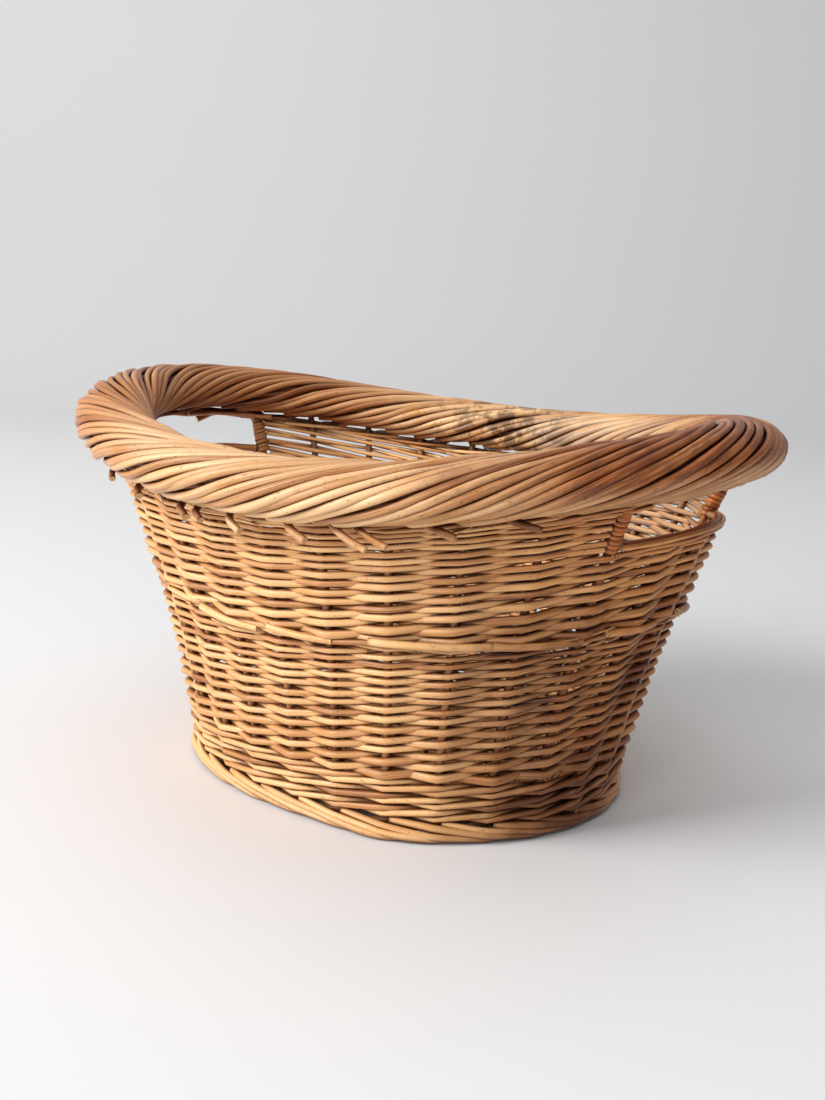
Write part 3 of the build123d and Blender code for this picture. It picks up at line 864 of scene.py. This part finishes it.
def base_weave(lines):
    """Pairing: closed oval rounds of two rods, over and under the sticks in turn."""
    arms = []
    for line in lines:
        half = len(line) // 2
        arms += [line[:half + 1][::-1], line[half:]]
    bundle = Bundle("base_weave", 6)
    outer_x, outer_y, _ = wall_oval(STICK_Z)
    for i in range(WEAVE_ROUNDS):
        share = i / (WEAVE_ROUNDS - 1)
        semi_x = WEAVE_START_X + (outer_x - WEAVE_MARGIN - WEAVE_START_X) * share
        semi_y = WEAVE_START_Y + (outer_y - WEAVE_MARGIN - WEAVE_START_Y) * share
        power = WEAVE_START_POWER + (BASE_POWER - WEAVE_START_POWER) * share
        oval = superellipse(semi_x, semi_y, power, np.linspace(0, 2 * np.pi, 720, endpoint=False))
        closed_oval = np.r_[oval, oval[:1]]
        run = run_length(closed_oval)
        crossings = []
        for arm in arms:
            reach = np.abs(arm[:, 0] / semi_x) ** power + np.abs(arm[:, 1] / semi_y) ** power
            hit = np.nonzero((reach[:-1] < 1) & (reach[1:] >= 1))[0]
            if len(hit):
                gaps = oval - arm[hit[0], :2]
                crossings.append(run[np.argmin(gaps[:, 0] ** 2 + gaps[:, 1] ** 2)])
        count = len(crossings)
        # a round that meets too few sticks is left out
        if count < 8:
            continue
        crossings = np.sort(np.array(crossings))
        knots = np.r_[crossings - run[-1], crossings, crossings + run[-1]]
        place = np.linspace(0, run[-1], 300, endpoint=False)
        plan = np.stack([np.interp(place, run, closed_oval[:, axis]) for axis in (0, 1)], -1)
        normal = unit(plan / np.array([semi_x**2, semi_y**2]))
        for rod in (0, 1):
            phase = np.interp(place, knots, np.arange(-count, 2 * count)) + rod + i
            # the two rods twist round each other between sticks
            twist = 1.0 * np.sin(np.pi * phase)
            path = lift_to(plan + normal * twist[:, None], STICK_Z + 5.6 * np.cos(np.pi * phase))
            bundle.rod(path, lift_to(normal, 0.0), 1.75, closed=True)
    bundle.build("willow_base")


base_weave(cross_sticks() + long_sticks())

# ------------------------------------------------------------------- border
ROD_THICKNESS = 6.4
ROLL_X = RIM_HALF_WIDTH - ROD_THICKNESS / 2
ROLL_Z = RIM_HALF_HEIGHT - ROD_THICKNESS / 2
# angle round the section, 0 outwards and 90 up, against length round it
DEGREES = np.arange(-360, 721)
SECTION_RUN = run_length(np.stack([ROLL_X * np.cos(np.radians(DEGREES)),
                                   ROLL_Z * np.sin(np.radians(DEGREES))], -1))
SECTION_LENGTH = SECTION_RUN[360]
ROLL_START, ROLL_END = np.interp([-68.0, 240.0], DEGREES, SECTION_RUN)
ADVANCE = 400.0             # along the rim for one turn round the section
BORDER_RODS = 84
ROLL_STEPS, LEAD_STEPS = 110, 10
# rod tails left showing under the border on the left and front: rod and how far it sticks out
STUBS = {33: 0.15, 36: 0.1, 39: 0.3, 40: 0.2, 42: 0.42, 45: 0.5, 47: 1.0, 48: 0.75, 51: 0.18,
         54: 0.06}


def border_points(turn, out, up):
    """Points placed out and up from the border centre line."""
    centre, normal, z = rim_frame(turn)
    return lift_to(centre + normal * out[..., None], z + up)


def from_centre_line(path, turn):
    centre, _, z = rim_frame(turn)
    return unit(path - lift_to(centre, z))


def stub_course(stub, out, up):
    """Tail from the end of the roll: thousandths of a turn along, out, up."""
    return spline([(0.0, out, up), (7.0, -5.0, -21.5), (13.5, 5.0, -24.0), (18.5, 13.0, -26.0),
                   (20.5 + 4.0 * stub, 14.0 + stub, -27.0 - 4.0 * stub),
                   (21.5 + 10.0 * stub, 14.4 + 2.0 * stub, -28.0 - 8.0 * stub)], 26)[2:]


def border_rod(i, quarters):
    rng = np.random.default_rng(3000 + i)
    start = (i + 0.5 + rng.normal(0, 0.10)) / BORDER_RODS
    rolled = (ROLL_END - ROLL_START) * np.linspace(0, 1, ROLL_STEPS)
    run = ROLL_START + rolled + drift(ROLL_STEPS, rng, spacing=30, size=0.9)
    angle = np.radians(np.interp(run, SECTION_RUN, DEGREES))
    # the rods sit slightly proud or sunk among their neighbours
    lift = drift(ROLL_STEPS, rng, spacing=25, size=0.7)
    out = (ROLL_X + lift) * np.cos(angle)
    up = (ROLL_Z + lift) * np.sin(angle)
    turn = start + rolled / SECTION_LENGTH * ADVANCE / RIM_LENGTH
    middle = (start + (turn[-1] - start) / 2) % 1.0
    if 28 <= i <= 66:
        stub = STUBS.get(i, 0.0)
    else:
        stub = rng.uniform(0.1, 0.7) if i % 3 == 0 else 0.0
    # lead-in from the stake line below
    share = np.linspace(0, 1, LEAD_STEPS)
    turns = [start - np.linspace(0.011, 0.0006, LEAD_STEPS), turn]
    outs = [-2 + (out[0] + 2) * share ** 1.2, out]
    ups = [-15.0 + (up[0] + 15.0) * share, up]
    if stub > 0:
        tail = stub_course(stub, out[-1], up[-1])
        turns.append(turn[-1] + tail[:, 0] / 1000.0)
        outs.append(tail[:, 1])
        ups.append(tail[:, 2])
    turn = np.concatenate(turns)
    count = len(turn)
    path = spline(border_points(turn, np.concatenate(outs), np.concatenate(ups)), count)
    radius = 0.5 * ROD_THICKNESS * rng.uniform(0.86, 1.10) * np.linspace(1.06, 0.93, count)
    # darker from just before the end of the roll
    tail_share = np.clip((np.arange(count) - (ROLL_STEPS + LEAD_STEPS - 12)) / 10.0, 0, 1)
    tone = rng.normal(0.03, 0.07) - 0.36 * tail_share
    quarters[int(middle * 4)].rod(path, from_centre_line(path, turn), radius, flat=0.96,
                                  tone=tone, rand=rng.random())


def border_tails():
    """Loose tails along the underside of the border over each hand hole."""
    bundle = Bundle("border_tails", 8)
    for middle in HOLES.values():
        for i in range(7):
            rng = np.random.default_rng(60 + i + int(middle * 100))
            start = middle - POST_TURN * 1.15 + rng.uniform(0, 0.05)
            turn = np.linspace(start, start + rng.uniform(0.055, 0.095), 40)
            out = (rng.uniform(-17, 10) + drift(40, rng, spacing=14, size=1.6)
                   + np.linspace(-3, 4, 40))
            up = (-np.sqrt(np.clip(1 - (out / 34.0) ** 2, 0, 1)) * 22.5
                  - rng.uniform(0.5, 3.2) + drift(40, rng, spacing=12, size=0.7))
            bundle.rod(border_points(turn, out, up), (0.0, 0.0, 1.0), np.linspace(2.6, 1.7, 40),
                       tone=-0.18, rand=rng.random())
    bundle.build("willow_border", [])


def border_core():
    """Closed rods that fill the border, each twisting twice round its centre line."""
    bundle = Bundle("border_core", 8)
    turn = np.linspace(0, 1, 360, endpoint=False)
    for i in range(14):
        angle = 2 * np.pi * i / 14 + 2 * np.pi * turn * 2
        path = border_points(turn, 22.0 * np.cos(angle), 12.0 * np.sin(angle))
        # the core rods are darkened by a tone of -0.25: painted shade under the outer rods
        bundle.rod(path, from_centre_line(path, turn), 4.4, closed=True, tone=-0.25)
    bundle.build("willow_border")


quarters = [Bundle(f"border_rods_{place}", 12)
            for place in ("back_right", "back_left", "front_left", "front_right")]
for i in range(BORDER_RODS):
    border_rod(i, quarters)
for bundle in quarters:
    bundle.build("willow_border")
border_tails()
border_core()

# -------------------------------------------------------------------- stage
# Camera place (metres) and angles (radians); yaw turns from +y towards +x
CAMERA_PLACE = (0.6142, -0.8804, 0.4350)
YAW, PITCH, ROLL = -0.6030165478614671, 0.22784617444907776, 0.027453465099244664
SENSOR_WIDTH, FOCAL_LENGTH = 36.0, 42.7123636       # mm

VIEW = np.array([math.sin(YAW) * math.cos(PITCH), math.cos(YAW) * math.cos(PITCH),
                 -math.sin(PITCH)])
RIGHT = np.array([math.cos(YAW), -math.sin(YAW), 0.0])
AWAY = np.array([VIEW[0], VIEW[1], 0]) / math.hypot(VIEW[0], VIEW[1])


def stage_point(away, right, height):
    """Point on the stage, laid out level from the camera's view."""
    return AWAY * away + RIGHT * right + np.array([0, 0, height])


def floor_material():
    material = bpy.data.materials.new("studio_floor")
    material.use_nodes = True
    nodes, links = material.node_tree.nodes, material.node_tree.links
    surface = nodes["Principled BSDF"]
    noise = nodes.new("ShaderNodeTexNoise")
    noise.inputs["Scale"].default_value = 3.0
    noise.inputs["Detail"].default_value = 3.0
    ramp = nodes.new("ShaderNodeValToRGB")
    ramp.color_ramp.elements[0].color = srgb(226, 225, 225)
    ramp.color_ramp.elements[1].color = srgb(236, 235, 234)
    links.new(noise.outputs["Fac"], ramp.inputs[0])
    links.new(ramp.outputs[0], surface.inputs["Base Color"])
    surface.inputs["Roughness"].default_value = 0.55
    surface.inputs["Specular IOR Level"].default_value = 0.25
    return material


def studio_floor():
    """Floor that sweeps up into a backdrop far behind the basket."""
    near, bend, radius, top, half_width = -4.0, 2.2, 1.6, 6.0, 7.0
    material = floor_material()
    profile = [(near, 0.0), (bend, 0.0)]
    profile += [(bend + radius * math.sin(angle), radius - radius * math.cos(angle))
                for angle in np.linspace(0.1, math.pi / 2, 12)]
    profile.append((bend + radius, top))
    points = [tuple(stage_point(away, side, height))
              for away, height in profile for side in (-half_width, half_width)]
    faces = [(2 * i, 2 * i + 1, 2 * i + 3, 2 * i + 2) for i in range(len(profile) - 1)]
    mesh = bpy.data.meshes.new("studio_floor")
    mesh.from_pydata(points, [], faces)
    for face in mesh.polygons:
        face.use_smooth = True
    mesh.materials.append(material)
    floor = bpy.data.objects.new("studio_floor", mesh)
    bpy.context.scene.collection.objects.link(floor)


def area_light(name, place, target_z, size, power, colour):
    """Square light aimed at a point on the z axis."""
    light = bpy.data.lights.new(name, "AREA")
    light.shape = "RECTANGLE"
    light.size = light.size_y = size
    light.energy = power
    light.color = colour
    lamp = bpy.data.objects.new(name, light)
    lamp.location = place
    aim = Vector((0, 0, target_z)) - Vector(place)
    lamp.rotation_euler = aim.to_track_quat("-Z", "Y").to_euler()
    bpy.context.scene.collection.objects.link(lamp)


def camera():
    data = bpy.data.cameras.new("camera")
    data.sensor_width = SENSOR_WIDTH
    data.lens = FOCAL_LENGTH
    thing = bpy.data.objects.new("camera", data)
    level_up = np.cross(RIGHT, VIEW)
    right = math.cos(ROLL) * RIGHT + math.sin(ROLL) * level_up
    up = -math.sin(ROLL) * RIGHT + math.cos(ROLL) * level_up
    matrix = Matrix.Identity(4)
    for i in range(3):
        matrix[i][:] = right[i], up[i], -VIEW[i], CAMERA_PLACE[i]
    thing.matrix_world = matrix
    bpy.context.scene.collection.objects.link(thing)
    bpy.context.scene.camera = thing


studio_floor()

world = bpy.data.worlds.new("studio_world")
bpy.context.scene.world = world
world.use_nodes = True
background = world.node_tree.nodes["Background"]
background.inputs["Color"].default_value = (0.93, 0.96, 1.0, 1.0)
background.inputs["Strength"].default_value = 0.335

area_light("key", tuple(stage_point(away=-1.0, right=-3.4, height=2.1)), target_z=0.12,
           size=2.2, power=174, colour=(0.99, 0.995, 1.0))
area_light("top", tuple(stage_point(away=0.4, right=0.0, height=3.0)), target_z=0.1,
           size=2.6, power=18, colour=(1.0, 1.0, 1.0))
area_light("fill", tuple(stage_point(away=-2.6, right=-0.6, height=2.0)), target_z=0.12,
           size=2.0, power=25, colour=(0.985, 0.995, 1.0))
camera()
bpy.context.scene.view_settings.view_transform = "Standard"
